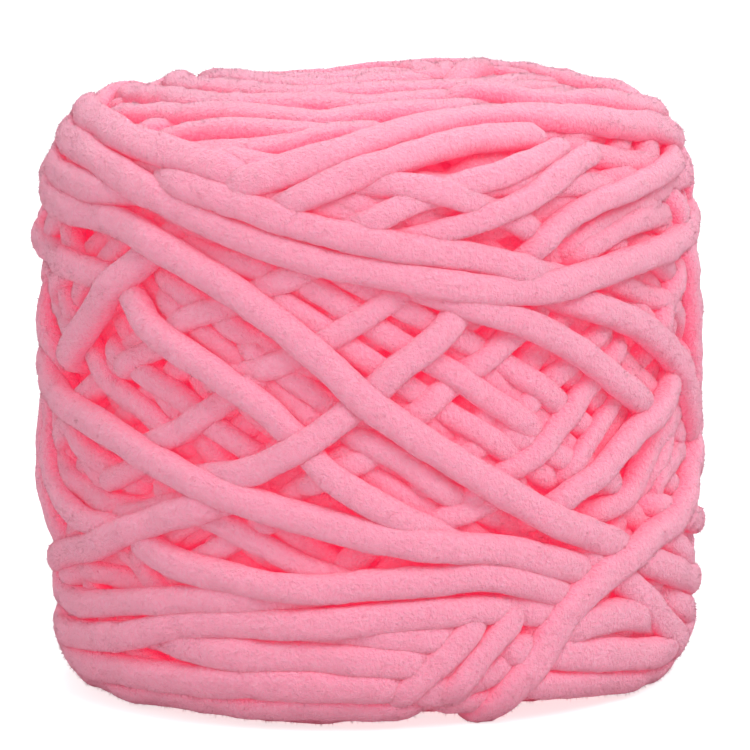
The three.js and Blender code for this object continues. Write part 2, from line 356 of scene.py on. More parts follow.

# %% [markdown]
# ## The outer turns
#
# The last turns of the winding are the ones that everyone sees, so they are laid one by one, in winding
# order, each past a few places on the ball. Short stretches of the lattice that shows between them
# are woven in a little deeper. The long turns, most of them later, lie on top of everything.
#
# A place is noted where the strand is seen from the front, on the ball's outside. The strand's own
# middle lies deeper, and so further round than it looks, and a small function works out where it
# truly lies. Both ends of a strand go on a little way past the last place and dive under the others.
# A blunt end turns down at once, and shows as a round tip.

# %% List the short stretches
STRETCHES = [
    # name, pairs of azimuth in degrees and height in mm from left to right, then the width and the
    # blunt end, where these aren't 1 and none
    ("deep falling one", [(-36, 73), (-33, 71.5), (-29.5, 70), (-22, 65.5), (-17, 63), (-11, 59.5)]),
    ("deep falling two", [(-35, 69), (-28, 64.5), (-21.5, 60), (-15, 55.5), (-10, 52)]),
    ("deep falling three", [(-19, 62), (-11, 57), (-7.5, 54.5), (-2, 51)]),
    ("deep falling four", [(-47, 60), (-41, 57.5), (-36, 55.5), (-31.5, 53), (-26, 49.5), (-20, 46)]),
    ("deep falling five", [(-31, 78.5), (-25, 77), (-18, 75.5), (-10, 72)]),
    ("deep falling six", [(-4, 44.5), (1.5, 41.2), (6, 38.2), (10, 35.8)]),
    ("deep falling seven", [(44, 71), (50, 68.5), (57, 66), (64, 62), (70, 58)]),
    ("deep falling eight", [(-36, 38), (-31, 36.5), (-26, 34), (-19, 29.5)]),
    ("left low falling", [(-78, 53), (-72, 49), (-68, 45), (-64, 41), (-60, 38.2), (-55, 36), (-50, 34.8),
      (-45, 34.2), (-40, 34)], 1.15),
    ("left middle falling", [(-62, 49), (-58, 46.5), (-55.5, 44.3), (-52, 42), (-48.5, 40.5), (-45, 39.5)]),
    ("left high falling", [(-88, 73), (-78, 70), (-70, 67.5), (-64, 65.2), (-57, 62)]),
    ("left inner falling", [(-55, 63), (-54, 61), (-51, 57.5), (-48, 54.8), (-44, 52.8), (-40, 51),
      (-35, 47.5)]),
    ("upper falling two", [(-12, 89.5), (-6.5, 88), (-3, 86.8), (0.3, 85.2), (3.7, 83.5), (8, 81.5)]),
    ("upper falling three", [(-12, 87), (-6.5, 85.5), (-1.5, 83.8), (2, 82.2), (7, 80)]),
    ("upper falling four", [(33, 80.8), (38, 79), (43, 77.5), (46, 76.6)]),
    ("right shoulder falling", [(57, 86.5), (63, 84), (67, 81.5), (70, 78.5), (74, 74.5), (80, 68)]),
    ("right rim falling short", [(38, 94), (44.3, 92.3), (49.6, 90.8), (54.5, 89.2), (60, 87.5)]),
    ("upper rising four", [(36, 77.5), (42, 80), (49, 81.4), (56, 82.4)], 0.9),
    ("middle rising one", [(9, 41), (15, 45), (19.5, 47.5), (24, 51), (28.5, 54.5), (32, 57), (36, 59.5),
      (41, 63)]),
    ("middle falling one", [(-14, 70), (-9, 67), (-3, 62.7), (5, 57.2), (11, 53), (15, 50.5), (19, 47.8),
      (23, 45), (29, 41)]),
    ("middle falling two", [(-4, 74.5), (0, 72.5), (5, 69.5), (10, 66.7), (15, 64), (20, 60.8), (25, 57.5),
      (29, 54.7), (32, 52.3), (37, 48.5)]),
    ("middle rising two", [(-13, 39.5), (-9, 42.5), (-5.5, 45), (-3, 46), (0, 48), (4, 50.3), (7.5, 52.5),
      (10.5, 55), (14, 57.5), (17.5, 59.8), (20.5, 61.8), (24, 64.3), (28, 67)]),
    ("middle falling three", [(-13, 75.2), (-6, 70.8), (0, 66.8), (5, 63.5), (11.5, 59.5), (15, 57.3),
      (19, 54.3), (23, 51.5), (27, 48.3), (31, 45.2)]),
    ("under the band one", [(-25, 57.5), (-20, 59), (-15, 60.5), (-11, 62.5), (-7, 64.5), (-2, 67.3),
      (3, 70.5), (8, 73.5)]),
    ("under the band two", [(-33, 66), (-29.5, 67.7), (-25, 69), (-21, 70.7), (-16, 73), (-10, 75.5)]),
    ("left rising one", [(-39, 46), (-34, 48), (-32, 49), (-28, 51.8), (-25.3, 53.5), (-20, 57)]),
    ("left rising two", [(-46, 57), (-42.5, 59.5), (-38.5, 61.5), (-35, 63)], 1, "left"),
    ("left rising three", [(-57, 69), (-52, 73), (-48.5, 76), (-44.5, 79)], 0.95),
    ("low left rising two", [(-54, 30), (-50, 31.8), (-45, 33.6), (-40, 34.8), (-35.5, 36.4), (-31, 37.5),
      (-26, 39.5)]),
    ("left foot falling one", [(-68, 26.5), (-58.5, 24.3), (-50, 23), (-43.7, 22), (-38, 21)]),
    ("left foot falling two", [(-48, 30.5), (-45.6, 28), (-42.5, 25.2), (-39.2, 22.8), (-35, 20)]),
    ("left foot rising one", [(-42, 27.5), (-38.6, 29.5), (-35, 31.8), (-32, 33.8), (-28, 36)]),
    ("left foot rising two", [(-34, 25.5), (-30, 27.8), (-26, 30), (-22.5, 32.1), (-18, 34.5)]),
    ("low left rising three", [(-51, 38.6), (-46, 40), (-42, 42), (-38, 44)], 1, "left"),
    ("low middle rising one", [(-9, 41.8), (-4.5, 43.9), (-1.5, 45.2), (1, 46.3), (6, 48.5)]),
    ("low middle falling", [(-2, 48.7), (3.3, 45.8), (7.2, 43), (10.3, 40.6), (14, 38.2), (19, 35.5)]),
    ("low middle rising two", [(5, 33), (10.8, 35), (14, 36), (17.5, 37), (22, 39)]),
    ("right low falling", [(24, 47.5), (28, 45.5), (31, 44), (37, 41), (42, 38.5)]),
    ("right rising one", [(17, 39), (20, 41), (24, 43), (27, 44.8), (31.7, 48.8), (36.7, 53.5), (40, 56),
      (44, 59)]),
    ("right rising two", [(34, 42), (36, 44), (39.3, 47.3), (43, 50.5), (47, 54)], 0.85),
    ("upper rising three", [(38, 76.5), (43, 78.3), (50, 79.8), (57, 80), (63, 78.9), (68, 76.5), (72, 73),
      (75, 69)]),
]
print(len(STRETCHES), "short stretches")

# %% List the outer turns
TURNS = [
    # the same, and at the end the layer where it isn't the outer one
    ("rim rising one", [(-4, 81), (1, 83), (5, 84.8), (10, 86.6), (16.4, 88), (23, 89), (28.4, 90.3),
      (34.2, 91.7), (39.5, 93.2)], 0.88, "right"),
    ("upper falling one", [(-13, 90), (-3, 89.5), (4, 88.3), (11, 87.3), (17.5, 85.3), (22, 83.7),
      (27, 81)], 0.9),
    ("rim rising two", [(-16, 84.5), (-11, 86.5), (-6, 88.5), (0, 90.6), (5, 92), (11.5, 93.6), (18.5, 94.6),
      (25.3, 94.8), (31.5, 94.7), (35.5, 94.2)], 0.98, "right"),
    ("upper rising one", [(5, 79.3), (10, 80.3), (14.5, 81.4), (20.5, 82.9), (28, 85.2), (35.4, 88.6),
      (41.8, 90.6), (46, 91.5)], 0.87, "right"),
    ("upper rising two", [(26, 74.5), (28, 76.3), (30.4, 78.5), (34.8, 81.1), (41.3, 83.3), (48, 84.3),
      (56.7, 85.6), (67.5, 87.2), (75, 88)], 0.86),
    ("rim strand", [(-46, 93.5), (-38, 94), (-30, 95), (-22, 95.8), (-15, 96.8), (-8, 97.6),
      (2, 98)], 1, "", "woven"),
    ("curl at the right", [(70, 42), (68, 41.3), (65, 40.2), (59, 39.5), (55.5, 37.8), (54.5, 35),
      (57, 31)], 1, "", "woven"),
    ("right inner rising", [(40, 33.5), (44.5, 34.5), (48, 36.3), (50.5, 39), (53, 42), (56.5, 44.8),
      (61, 47.5)], 1.05, "", "woven"),
    ("left edge falling", [(-96, 52), (-88, 47), (-80, 42.5), (-73, 38.5), (-68, 35.6), (-62, 33),
      (-56, 31.4), (-50, 31)], 0.92),
    ("second diagonal turn", [(-112, 80), (-98, 77.8), (-90, 76), (-80, 74.4), (-73, 73.9), (-66.5, 73.5),
      (-60, 72.9), (-54.5, 72.3), (-50, 71.6), (-46, 70.4), (-43, 68.6), (-41, 66.4), (-38.9, 64.7),
      (-36, 63.2), (-32.7, 61.6), (-28.6, 59.7), (-24.5, 57.5), (-17.6, 53.2), (-14, 49.5), (-10, 45.4),
      (-5, 41.3), (0, 38), (5, 35.2), (11, 32)]),
    ("left rising turn", [(-62.5, 56.5), (-60.5, 58.3), (-59, 59.8), (-55.5, 63.1), (-52, 66.8), (-48.5, 70),
      (-44, 73.4), (-41, 75.9), (-38.5, 78)], 1.05, "left"),
    ("middle rising over", [(-28, 41.2), (-24.5, 41.8), (-20, 43), (-15, 45.4), (-10, 48.1), (-6, 51),
      (-2, 54), (1, 56.5), (5, 60), (10, 63.5), (15, 68), (19, 71.5)]),
    ("right falling turn", [(10, 71.5), (15, 69.5), (22, 67), (25.5, 65.8), (31, 63.2), (35.5, 60.6),
      (41, 57), (45, 54), (50, 51), (54, 48.5)]),
    ("right rising turn", [(31, 35), (35, 37.6), (40, 39.8), (45, 43.2), (50, 46), (55, 48.3),
      (61, 51.5)], 0.92),
    ("back rising turn", [(128, 25), (160, 38), (190, 54), (220, 70), (250, 83)]),
    ("back falling turn", [(95, 77), (120, 66), (150, 50), (180, 36), (210, 27), (242, 23)]),
    ("back foot turn one", [(80, 5.5), (100, 4.5), (130, 3.8), (160, 4.2), (190, 5), (220, 4), (250, 3.6)]),
    ("back foot turn two", [(95, 11), (115, 9), (140, 8.6), (170, 9.4), (200, 9), (230, 8),
      (258, 7.5)], 1.05),
    ("back foot turn three", [(120, 13.5), (140, 13.2), (160, 13), (185, 12), (210, 12.6), (240, 12),
      (262, 11.5)]),
    ("foot turn one", [(-110, 4), (-85, 3.5), (-60, 3.6), (-40, 3.8), (-24, 4), (-10, 4.3), (4, 3.6)]),
    ("foot turn two", [(-100, 8), (-80, 6.6), (-65, 7), (-50, 7.4), (-40, 7.5), (-30, 7.8), (-20, 8.4),
      (-10, 8.3), (4, 7.6), (13, 6)], 1.1),
    ("foot turn three", [(-48, 14), (-40, 14), (-35, 13.6), (-30, 13.2), (-20, 12.9), (-10, 12.9), (0, 12.3),
      (8, 11.6), (14, 11)], 1.1),
    ("foot turn four", [(-13, 17.2), (-5, 16.8), (0, 16.3), (8, 15.8), (16, 15.6)]),
    ("foot turn five", [(-105, 10), (-90, 9.5), (-75, 10.3), (-60, 11.7), (-50, 13), (-44, 14.4), (-38, 16),
      (-32, 17.3), (-25, 18), (-15, 18.3), (-5, 18.9), (5, 19.6), (15, 19.9), (25, 19), (31, 17.8)], 1.05),
    ("foot turn six", [(24, 6.8), (34, 5.8), (42, 5), (52, 4.2), (66, 3.6), (85, 4)]),
    ("foot turn seven", [(26, 12.2), (35, 10.9), (40, 10.2), (50, 8.8), (60, 7.8), (72, 7.8), (88, 9)], 1.1),
    ("foot turn eight", [(31, 14.6), (36, 15.6), (41, 16), (47, 15.7), (53, 14), (58, 12)], 1.1),
    ("foot rising one", [(4, 6.5), (8, 9.8), (12, 13.3), (15, 16)], 0.88),
    ("bottom turn", [(-166, 15), (-140, 21), (-110, 24), (-80, 21), (-68, 17.5), (-60, 17), (-50, 18.5),
      (-40, 20.2), (-30, 21.4), (-20, 22.1), (-11, 23)]),
    ("right edge falling", [(68, 79), (71, 73), (73.5, 67), (76, 61), (79, 55), (83, 48)], 0.95),
    ("right foot falling", [(60, 31), (68, 28.5), (78, 26), (90, 24.5), (104, 23.5), (118, 23)], 0.95),
    ("far right falling turn", [(32, 70), (39.5, 67), (45, 65), (50, 63), (55, 60.2), (60, 56.8), (64, 53.3),
      (68, 49.3), (72, 45.5), (78, 40.5), (86, 36), (100, 30), (130, 24), (160, 19), (190, 14),
      (215, 6)], 1.05),
    ("top rim turn", [(-148, 85), (-110, 92), (-85, 95.3), (-70, 95.6), (-58, 95), (-50, 93.7), (-40, 92.6),
      (-32, 91.5), (-26, 90.4), (-19, 88)], 1.1),
    ("shoulder partner", [(26, 100), (40, 99), (54, 97.6), (68, 96), (80, 94.3), (95, 92), (115, 89.5),
      (140, 85.5)]),
    ("right rim falling", [(66, 93), (74, 91), (81, 87), (86, 81.5), (89, 76), (92, 69), (94.5, 62),
      (97.5, 56), (100.5, 50.5)], 0.95),
    ("turn over the shoulder", [(-22, 88.2), (-15, 90.2), (-7, 92.6), (0, 94.7), (6, 96), (12, 96.8),
      (20, 97.3), (30, 97.3), (40, 96.6), (50, 95.5), (60, 94), (70, 92), (80, 89.8), (95, 87.5), (110, 85),
      (135, 80), (157, 75)], 1.08),
    ("band's upper turn", [(-44, 89), (-36, 88.2), (-30, 87.1), (-25, 86.1), (-20, 84.8), (-12, 82.5),
      (0, 79.7), (10, 77.8), (20, 75.9), (34, 71.5)]),
    ("main diagonal turn", [(-150, 86), (-110, 87), (-85, 85), (-70, 82.7), (-60, 82), (-50, 81.3),
      (-45, 80.6), (-40, 79.2), (-35, 77.2), (-30, 75), (-25, 72.6), (-20, 69.9), (-10, 62.8), (0, 53.8),
      (10, 46.5), (20, 40), (30, 33.8), (35, 31.6), (40, 29.5), (45, 27.3), (50, 24.9), (59, 21.2),
      (70, 17.8), (85, 15), (105, 14), (130, 16)], 1.08),
    ("below the diagonal", [(-28, 35.5), (-24, 34), (-18, 31), (-12, 28), (-6, 26)], 1, "", "woven"),
    ("lower turn", [(-44, 31.3), (-41.5, 29.6), (-38, 28), (-35, 27), (-30, 26.1), (-25, 25.4), (-20, 24.8),
      (-10, 24.3), (0, 24.9), (10, 25.2), (16, 25.6), (20, 25.2), (25, 23.9), (30, 22.2),
      (35, 20)], 1.05, "left"),
    ("low left rising turn", [(-100, 17), (-85, 19.5), (-70, 23), (-65, 24.4), (-60, 26), (-55, 27.2),
      (-50, 29), (-45, 31.2), (-40, 33), (-35, 34.9), (-30, 36.4), (-25, 38)], 1.02),
    ("low diagonal turn", [(-165, 84), (-120, 71), (-90, 58.5), (-70, 52.3), (-60, 49.7), (-50, 47.3),
      (-40, 44.1), (-30, 40.8), (-20, 37.9), (-10, 35.3), (0, 32.7), (10, 31), (20, 29.6), (25, 28.4),
      (30, 26.7), (35, 25), (40, 23)], 1.1),
    ("beside the band", [(-80, 87.5), (-72, 87), (-66, 86.7), (-59, 86.2), (-53, 85.7), (-48, 86),
      (-43, 86.6)]),
    ("band's lower turn", [(-185, 83), (-130, 89), (-100, 91), (-75, 91.8), (-60, 91.2), (-50, 89.2),
      (-40, 86.4), (-32, 83.8), (-24, 81), (-10, 77), (0, 75), (10, 73), (20, 71.3), (30, 70.9), (40, 72),
      (50, 73), (60, 74), (70, 75), (80, 75.8), (90, 76.6), (125, 80), (176, 84.5)], 1.03),
    ("low right rising", [(13, 7), (16, 10.5), (18.5, 13.5), (22, 16.8)], 0.88),
    ("foot falling", [(41, 24.5), (44.5, 22.8), (48, 20.3), (51, 18), (54.5, 14.9), (58.5, 11.8), (63, 9.2),
      (69, 6.5)]),
    ("crossing turn", [(19, 1.5), (22.5, 5), (25, 8), (28.5, 11.8), (30.5, 15), (33, 18), (36, 20.6),
      (40, 22.8), (45, 24.8), (50, 26.6), (60, 29.3), (70, 33.7), (78, 38.5), (100, 50), (130, 64),
      (155, 76), (175, 85), (201, 93.5)], 1.08),
]
print(len(TURNS), "outer turns, the last of them the", TURNS[-1][0])

# %% Lay the outer turns
PROUD = 2.1  # how far the ball's outside stands out from the barrel, in mm
SEEN_TO, UNSEEN_FROM = 65, 120  # the azimuths between which the correction fades out
MOST_SINE = 0.985  # keeps the arcsine in range at the ball's edge
END_EXTRA = 6.0  # how far an end goes on past its last place, in mm


def behind(azimuth, height, lift):
    """Where a strand's middle lies that is seen, from the front, at this place on the yarn's outside."""
    radius = np.interp(along_at_height(height), ALONG, RADII)
    seen, deep = radius + PROUD, radius + lift
    aside = np.minimum(np.abs(azimuth), SEEN_TO)
    sine = np.minimum(seen / deep * np.sin(np.radians(aside)), MOST_SINE)
    turned = np.degrees(np.arcsin(sine))
    nearer = seen * np.cos(np.radians(aside)) - deep * np.cos(np.radians(turned))
    share = np.clip((UNSEEN_FROM - np.abs(azimuth)) / (UNSEEN_FROM - SEEN_TO), 0, 1)
    lower = math.tan(CAMERA_ELEVATION) * nearer
    return azimuth + np.sign(azimuth) * share * (turned - aside), height - share * lower


def lay_turn(name, guides, width=1, blunt="", layer="outer"):
    """Lays one turn or stretch past its guides. The name is only a label."""
    guides = np.array(guides, float)
    turned, lowered = behind(guides[:, 0], guides[:, 1], LAYERS[layer][1])
    path = np.stack([np.radians(turned) * WALL_RADIUS, along_at_height(lowered)], axis=1)
    for side, end, inner in (("left", 0, 1), ("right", -1, -2)):
        if side != blunt:
            onward = path[end] - path[inner]
            path[end] += onward / np.linalg.norm(onward) * END_EXTRA
    path = smooth_path(path)
    lay(layer, np.degrees(path[:, 0] / WALL_RADIUS), path[:, 1], width=width, blunt=blunt)


for stretch in STRETCHES:
    lay_turn(*stretch, layer="woven")
for turn in TURNS:
    lay_turn(*turn)
print(len(strands), "strands in all")

# %% [markdown]
# ## Letting the strands settle
#
# So far the strands only have a place on the surface. How deep each lies comes from the others. A
# cloth solver is made for sheets, so a small solver of our own does this: every station may only
# move in or out. Over and over, each strand pulls itself straight and inwards, as yarn under tension
# does, and wherever two strands cross, the later one is pushed out and the earlier one in until they
# are nearly a strand apart. Plush gives way, so each layer has its own "nearly", called its give.
#
# No ball is a perfect barrel. A short table says where this one stands out or is drawn in, and the
# machine's loops lie deeper at the front, under the listed turns, and fuller at the two sides.

# %% Say how far out each strand would like to lie, and may
RANK_SPREAD = 0.8  # how much further out the last strand of a layer lies than the middle one
BULGES = [
    # place in mm from the middle of the underside, size in mm, how far the yarn stands out there in mm
    ((-50, 0, 4), 20, 0.1),
    ((-52, 0, 18), 9, -2.3),
    ((-54, 0, 60), 8, -0.8),
    ((-54, 0, 44), 10, -1.1),
    ((-54, 0, 68), 6, 1.0),
    ((-53, 0, 74), 6, 0.9),
    ((-42, -5, 95), 13, -0.3),
    ((-32, 20, 98), 14, 1.6),
    ((50, 0, 4), 20, -0.8),
    ((44, -22, 4), 11, 0.6),
    ((28, -38, 1), 14, -0.5),
    ((-34, -34, 2), 12, -0.8),
    ((-8, -46, 1), 22, -0.8),
    ((54, 0, 26), 6, 0.4),
    ((54, 0, 46), 20, -1.3),
    ((-12, 26, 100), 17, -5.0),
    ((14, -5, 101), 6, -5.0),
    ((34, 8, 98), 16, -2.2),
]
WINDOW_AZIMUTH, WINDOW_FOOT, WINDOW_TOP = 68, 12, 88  # where the loops lie deeper at the front
WINDOW_DEPTH, WINDOW_FADE = 4.2, 8
SIDE_AZIMUTH, SIDE_WIDTH, SIDE_FULLER = 90, 17, 1.4  # and where they lie fuller
DOME_FRONT_TOP, DOME_FRONT_FADE, DOME_FRONT_DEPTH = 97, 4, 2.4  # where the dome's front lies deeper
UNDERSIDE_EDGE = 4  # how far past the flat underside strands still touch the table, in mm
TABLE_PRESS = 0.3  # how much the table flattens them, in mm
azimuth = np.concatenate([s["azimuth"] for s in strands])
along = np.concatenate([s["along"] for s in strands])
dive = np.concatenate([s["dive"] for s in strands])
counts = [len(s["azimuth"]) for s in strands]
owner = np.repeat(np.arange(len(strands)), counts)
columns = [np.repeat([LAYERS[s["layer"]][c] for s in strands], counts) for c in (1, 2, 3, 6)]
lift, highest, lowest, give = (column.astype(float) for column in columns)
layer_of = np.repeat([s["layer"] for s in strands], counts)


def within(distance, fade):
    """A share that goes from 0 at an edge to 1 a little way inside it."""
    return np.clip(distance / fade, 0, 1)


for layer in [name for name in LAYERS if name != "outer"]:
    rows = layer_of == layer
    rank = (owner[rows] - owner[rows].min()) / max(1, np.ptp(owner[rows]))
    lift[rows] += RANK_SPREAD * (2 * rank - 1)
round_front = np.abs((azimuth + 180) % 360 - 180)
height = np.interp(along, ALONG, HEIGHTS)
at_front = within(WINDOW_AZIMUTH - round_front, WINDOW_FADE)
window = at_front * within(height - WINDOW_FOOT, WINDOW_FADE) * within(WINDOW_TOP - height, WINDOW_FADE)
side = np.exp(-((round_front - SIDE_AZIMUTH) / SIDE_WIDTH) ** 2)
dome_front = at_front * within(DOME_FRONT_TOP - height, DOME_FRONT_FADE)
surface, _ = on_ball(azimuth, along)
amounts = [
    -WINDOW_DEPTH * window * (layer_of == "lattice"),
    SIDE_FULLER * side * (layer_of == "lattice"),
    -DOME_FRONT_DEPTH * dome_front * (layer_of == "dome"),
]
for place, size, amount in BULGES:
    amounts.append(amount * np.exp(-((surface - np.array(place)) ** 2).sum(axis=1) / size**2))
for amount in amounts:
    highest += amount
    lift += amount
underneath = along < FOOT_RADIUS + UNDERSIDE_EDGE
highest[underneath] = np.minimum(highest[underneath], -YARN / 2 + TABLE_PRESS)
lift = np.minimum(lift, highest)
natural = lift.copy()
print("natural lift from", round(natural.min(), 1), "to", round(natural.max(), 1), "mm")

# %% Find each station's neighbours and contacts
reach = give * YARN
starts = np.concatenate([[0], np.cumsum(counts)[:-1]])
before = np.arange(len(owner)) - 1
after = np.arange(len(owner)) + 1
for strand, start, count in zip(strands, starts, counts):
    end = start + count - 1
    before[start] = end if strand["closed"] else start
    after[end] = start if strand["closed"] else end
tree = kdtree.KDTree(len(surface))
for index, place in enumerate(surface):
    tree.insert(place, index)
tree.balance()
later, earlier, apart = [], [], []
for index, place in enumerate(surface):
    if dive[index] > 1:
        continue
    for _, other, distance in tree.find_range(place, reach[index]):
        if owner[other] < owner[index] and dive[other] <= 1:
            later.append(index)
            earlier.append(other)
            apart.append(distance)
later, earlier = np.array(later), np.array(earlier)
needed = np.sqrt(np.maximum(reach[later] ** 2 - np.array(apart) ** 2, 0))
print(len(owner), "stations,", len(later), "contacts")

# %% Settle
ROUNDS = 160
TENSION = 0.45
SPRING = 0.05
LATER_SHARE = 0.5  # of each push, what the later strand takes
SOFTENING = 4  # how many times each strand's lift is evened out at the end
for _ in range(ROUNDS):
    lift += TENSION * ((lift[before] + lift[after]) / 2 - lift) + SPRING * (natural - lift)
    short = np.maximum(needed - (lift[later] - lift[earlier]), 0)
    rise, sink = np.zeros(len(lift)), np.zeros(len(lift))
    np.maximum.at(rise, later, short * LATER_SHARE)
    np.maximum.at(sink, earlier, short * (1 - LATER_SHARE))
    lift = np.clip(lift + rise - sink, lowest, highest)
squeeze = np.zeros(len(lift))
short = np.maximum(needed - (lift[later] - lift[earlier]), 0) / YARN
np.maximum.at(squeeze, later, short)
np.maximum.at(squeeze, earlier, short)
for _ in range(SOFTENING):
    lift = (lift[before] + 2 * lift + lift[after]) / 4
lift -= dive
print("lift from", round(lift.min(), 1), "to", round(lift.max(), 1), "mm, squeeze", round(squeeze.mean(), 3))

# %% [markdown]
# ## From paths to yarn
#
# A curve with a round bevel is the simplest strand there is, and Blender keeps its section upright
# to the path all the way. Each layer's strands go into one curve object, which is converted to a
# mesh. Then the mesh is pressed: the section gets wider and lower where the yarn is squeezed. Real
# plush is also never even, so the thickness wanders a little, and two Displace modifiers with cloud
# textures raise the tufts. Each corner of the mesh also notes its openness, which the finish uses for
# its painted shade and glow: 1 where it faces straight out on an outer strand, and below 0 where it is
# shut in a gap.

# %% Turn paths into tubes
THICKNESS_WANDER, WANDER_LENGTH = 0.05, 9


def choose(thing):
    """Makes one object the selected and active one."""
    bpy.ops.object.select_all(action="DESELECT")
    thing.select_set(True)
    bpy.context.view_layer.objects.active = thing


def read(items, name, width, kind=float):
    """A property of every corner or triangle of a mesh, as the rows of an array."""
    values = np.zeros(len(items) * width, kind)
    items.foreach_get(name, values)
    return values.reshape(-1, width)


def wander(count, spacing, closed):
    """A smooth random row, about one either way, for a strand's changing thickness."""
    if count < 8:
        return np.zeros(count)
    knots = rng.uniform(-1, 1, max(3, round(count * spacing / WANDER_LENGTH)))
    if closed:
        knots = np.append(knots, knots[0])
    stations = np.linspace(0, len(knots) - 1, count, endpoint=not closed)
    return np.interp(stations, np.arange(len(knots)), knots)


def strands_to_mesh(name, chosen):
    """Turns the chosen strands into one mesh of pressed tubes."""
    layer = LAYERS[strands[chosen[0]]["layer"]]
    spacing, sides = layer[0], layer[4]
    curve = bpy.data.curves.new(name, "CURVE")
    curve.dimensions = "3D"
    curve.bevel_depth = YARN / 2 * MM
    curve.bevel_resolution = (sides - 4) // 2
    curve.twist_mode = "MINIMUM"
    centres, outs, presses, depths = [], [], [], []
    for number in chosen:
        strand = strands[number]
        rows = slice(starts[number], starts[number] + counts[number])
        centre, out = on_ball(azimuth[rows], along[rows], lift[rows])
        thickness = 1 + THICKNESS_WANDER * wander(counts[number], spacing, strand["closed"])
        spline = curve.splines.new("POLY")
        spline.points.add(counts[number] - 1)
        spline.points.foreach_set("co", np.column_stack([centre * MM, np.ones(len(centre))]).ravel())
        spline.points.foreach_set("radius", thickness * strand["width"])
        spline.use_cyclic_u = strand["closed"]
        centres.append(centre)
        outs.append(out)
        presses.append(squeeze[rows])
        depths.append(-lift[rows])
    tube = bpy.data.objects.new(name, curve)
    bpy.context.collection.objects.link(tube)
    choose(tube)
    bpy.ops.object.convert(target="MESH")
    tube = bpy.context.object
    tube.name = name
    press(tube, np.vstack(centres) * MM, np.vstack(outs), np.concatenate(presses), np.concatenate(depths))
    bpy.ops.object.mode_set(mode="EDIT")
    bpy.ops.mesh.select_all(action="SELECT")
    bpy.ops.mesh.fill_holes(sides=sides)
    bpy.ops.object.mode_set(mode="OBJECT")
    return tube


# %% Press the tubes
SQUARENESS = 2.5  # of a section; 2 is a plain ellipse
MOST_PRESSED = 0.25  # the squeeze past which a section gets no flatter
LOWER, LOWER_PRESSED = 0.88, 0.8  # a section's height, and how fast pressing lowers it
WIDER, WIDER_PRESSED = 1.02, 0.4
OPEN_DEPTH, SHUT_DEPTH = 1.5, 8.5  # from where a gap counts as shut, in mm, and from where fully


def press(tube, centre, out, pressed, depth_below):
    """Squares each section a little, makes it lower and wider where squeezed, and notes its openness."""
    rings = read(tube.data.vertices, "co", 3).reshape(len(centre), -1, 3)
    arm = rings - centre[:, None]
    size = np.linalg.norm(arm, axis=2, keepdims=True)
    depth = (arm * out[:, None]).sum(axis=2, keepdims=True)
    flat = arm - depth * out[:, None]
    upright = depth / size
    level = np.linalg.norm(flat, axis=2, keepdims=True) / size
    squarer = (np.abs(upright) ** SQUARENESS + level**SQUARENESS) ** (-1 / SQUARENESS)
    pressed = np.clip(pressed, 0, MOST_PRESSED)[:, None, None]
    lower = LOWER - LOWER_PRESSED * pressed
    wider = WIDER + WIDER_PRESSED * pressed
    rings = centre[:, None] + (flat * wider + depth * out[:, None] * lower) * squarer
    tube.data.vertices.foreach_set("co", rings.ravel())
    # The openness falls on a strand's sides and the deeper it lies; the finish paints shade and a red glow by
    # it.
    shut = np.clip((depth_below[:, None] - OPEN_DEPTH) / (SHUT_DEPTH - OPEN_DEPTH), 0, 1)
    openness = upright[..., 0] - shut
    tube.data.attributes.new("openness", "FLOAT", "POINT").data.foreach_set("value", openness.ravel())
    tube.data.update()


# %% Raise the tufts and finish a piece
def tuft(tube, size, rise):
    """Raises soft tufts on a mesh with a cloud texture of this size."""
    clouds = bpy.data.textures.new(tube.name + " tufts", "CLOUDS")
    clouds.noise_scale = size * MM
    clouds.noise_depth = 1
    bump = tube.modifiers.new("tufts", "DISPLACE")
    bump.texture = clouds
    bump.texture_coords = "LOCAL"
    bump.strength = rise * MM
    bump.mid_level = 0.5
    bpy.context.view_layer.objects.active = tube
    bpy.ops.object.modifier_apply(modifier=bump.name)


def finish_piece(piece):
    """Rests a mesh on the ground plane, smooths its shading and ties it to the modelled ball."""
    corners = read(piece.data.vertices, "co", 3)
    corners[:, 2] = np.maximum(corners[:, 2], 0)
    piece.data.vertices.foreach_set("co", corners.ravel())
    choose(piece)
    bpy.ops.object.shade_smooth()
    piece.data.materials.clear()
    piece.data.materials.append(plush)
    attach(piece, "root")
    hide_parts("yarn_ball")
    triangles = sum(len(face.vertices) - 2 for face in piece.data.polygons)
    print(piece.name, triangles, "triangles")


# %% [markdown]
# ## The plush finish
#
# Plush yarn is a core with a short, dense pile. It has no shine, its edges look paler because the
# pile catches the light sideways, and light sinks in a little and comes out redder. So the
# Principled shader gets full roughness, a pale sheen and some subsurface scattering, and a noise
# texture gives the pile its mottled colour and its velvety bumps.
#
# Light that reaches a gap has been through so much pink pile that the gap is nearly red, and it
# would take very many bounces to work that out. So that shade is painted: the colour gets deeper and
# redder as the openness falls, on a strand's sides and in the gaps, and a faint painted red glow,
# strongest in the gaps, stands in for the light that comes through the yarn.

# %% Make the plush material
PINK = (0.95, 0.385, 0.535, 1)
# painted shade: the deeper, redder pink of a strand's sides and of the gaps
PINK_PAINTED_SHADE = (0.96, 0.24, 0.38, 1)
PINK_TIP = (0.96, 0.52, 0.65, 1)
# a painted red glow that stands in for light coming through the yarn, and its strength on open yarn and in
# shut gaps
PAINTED_GLOW = (1, 0.04, 0.15)
PAINTED_GLOW_OPEN, PAINTED_GLOW_SHUT = 0.13, 0.32
MOTTLE_SCALE = 1700
COLOUR_A, COLOUR_B, COLOUR_OUT = 6, 7, 2  # a Mix node's own numbers for its colour sockets


def set_inputs(node, values):
    """Sets some inputs of a node, each given by its name or number."""
    for name, value in values.items():
        node.inputs[name].default_value = value


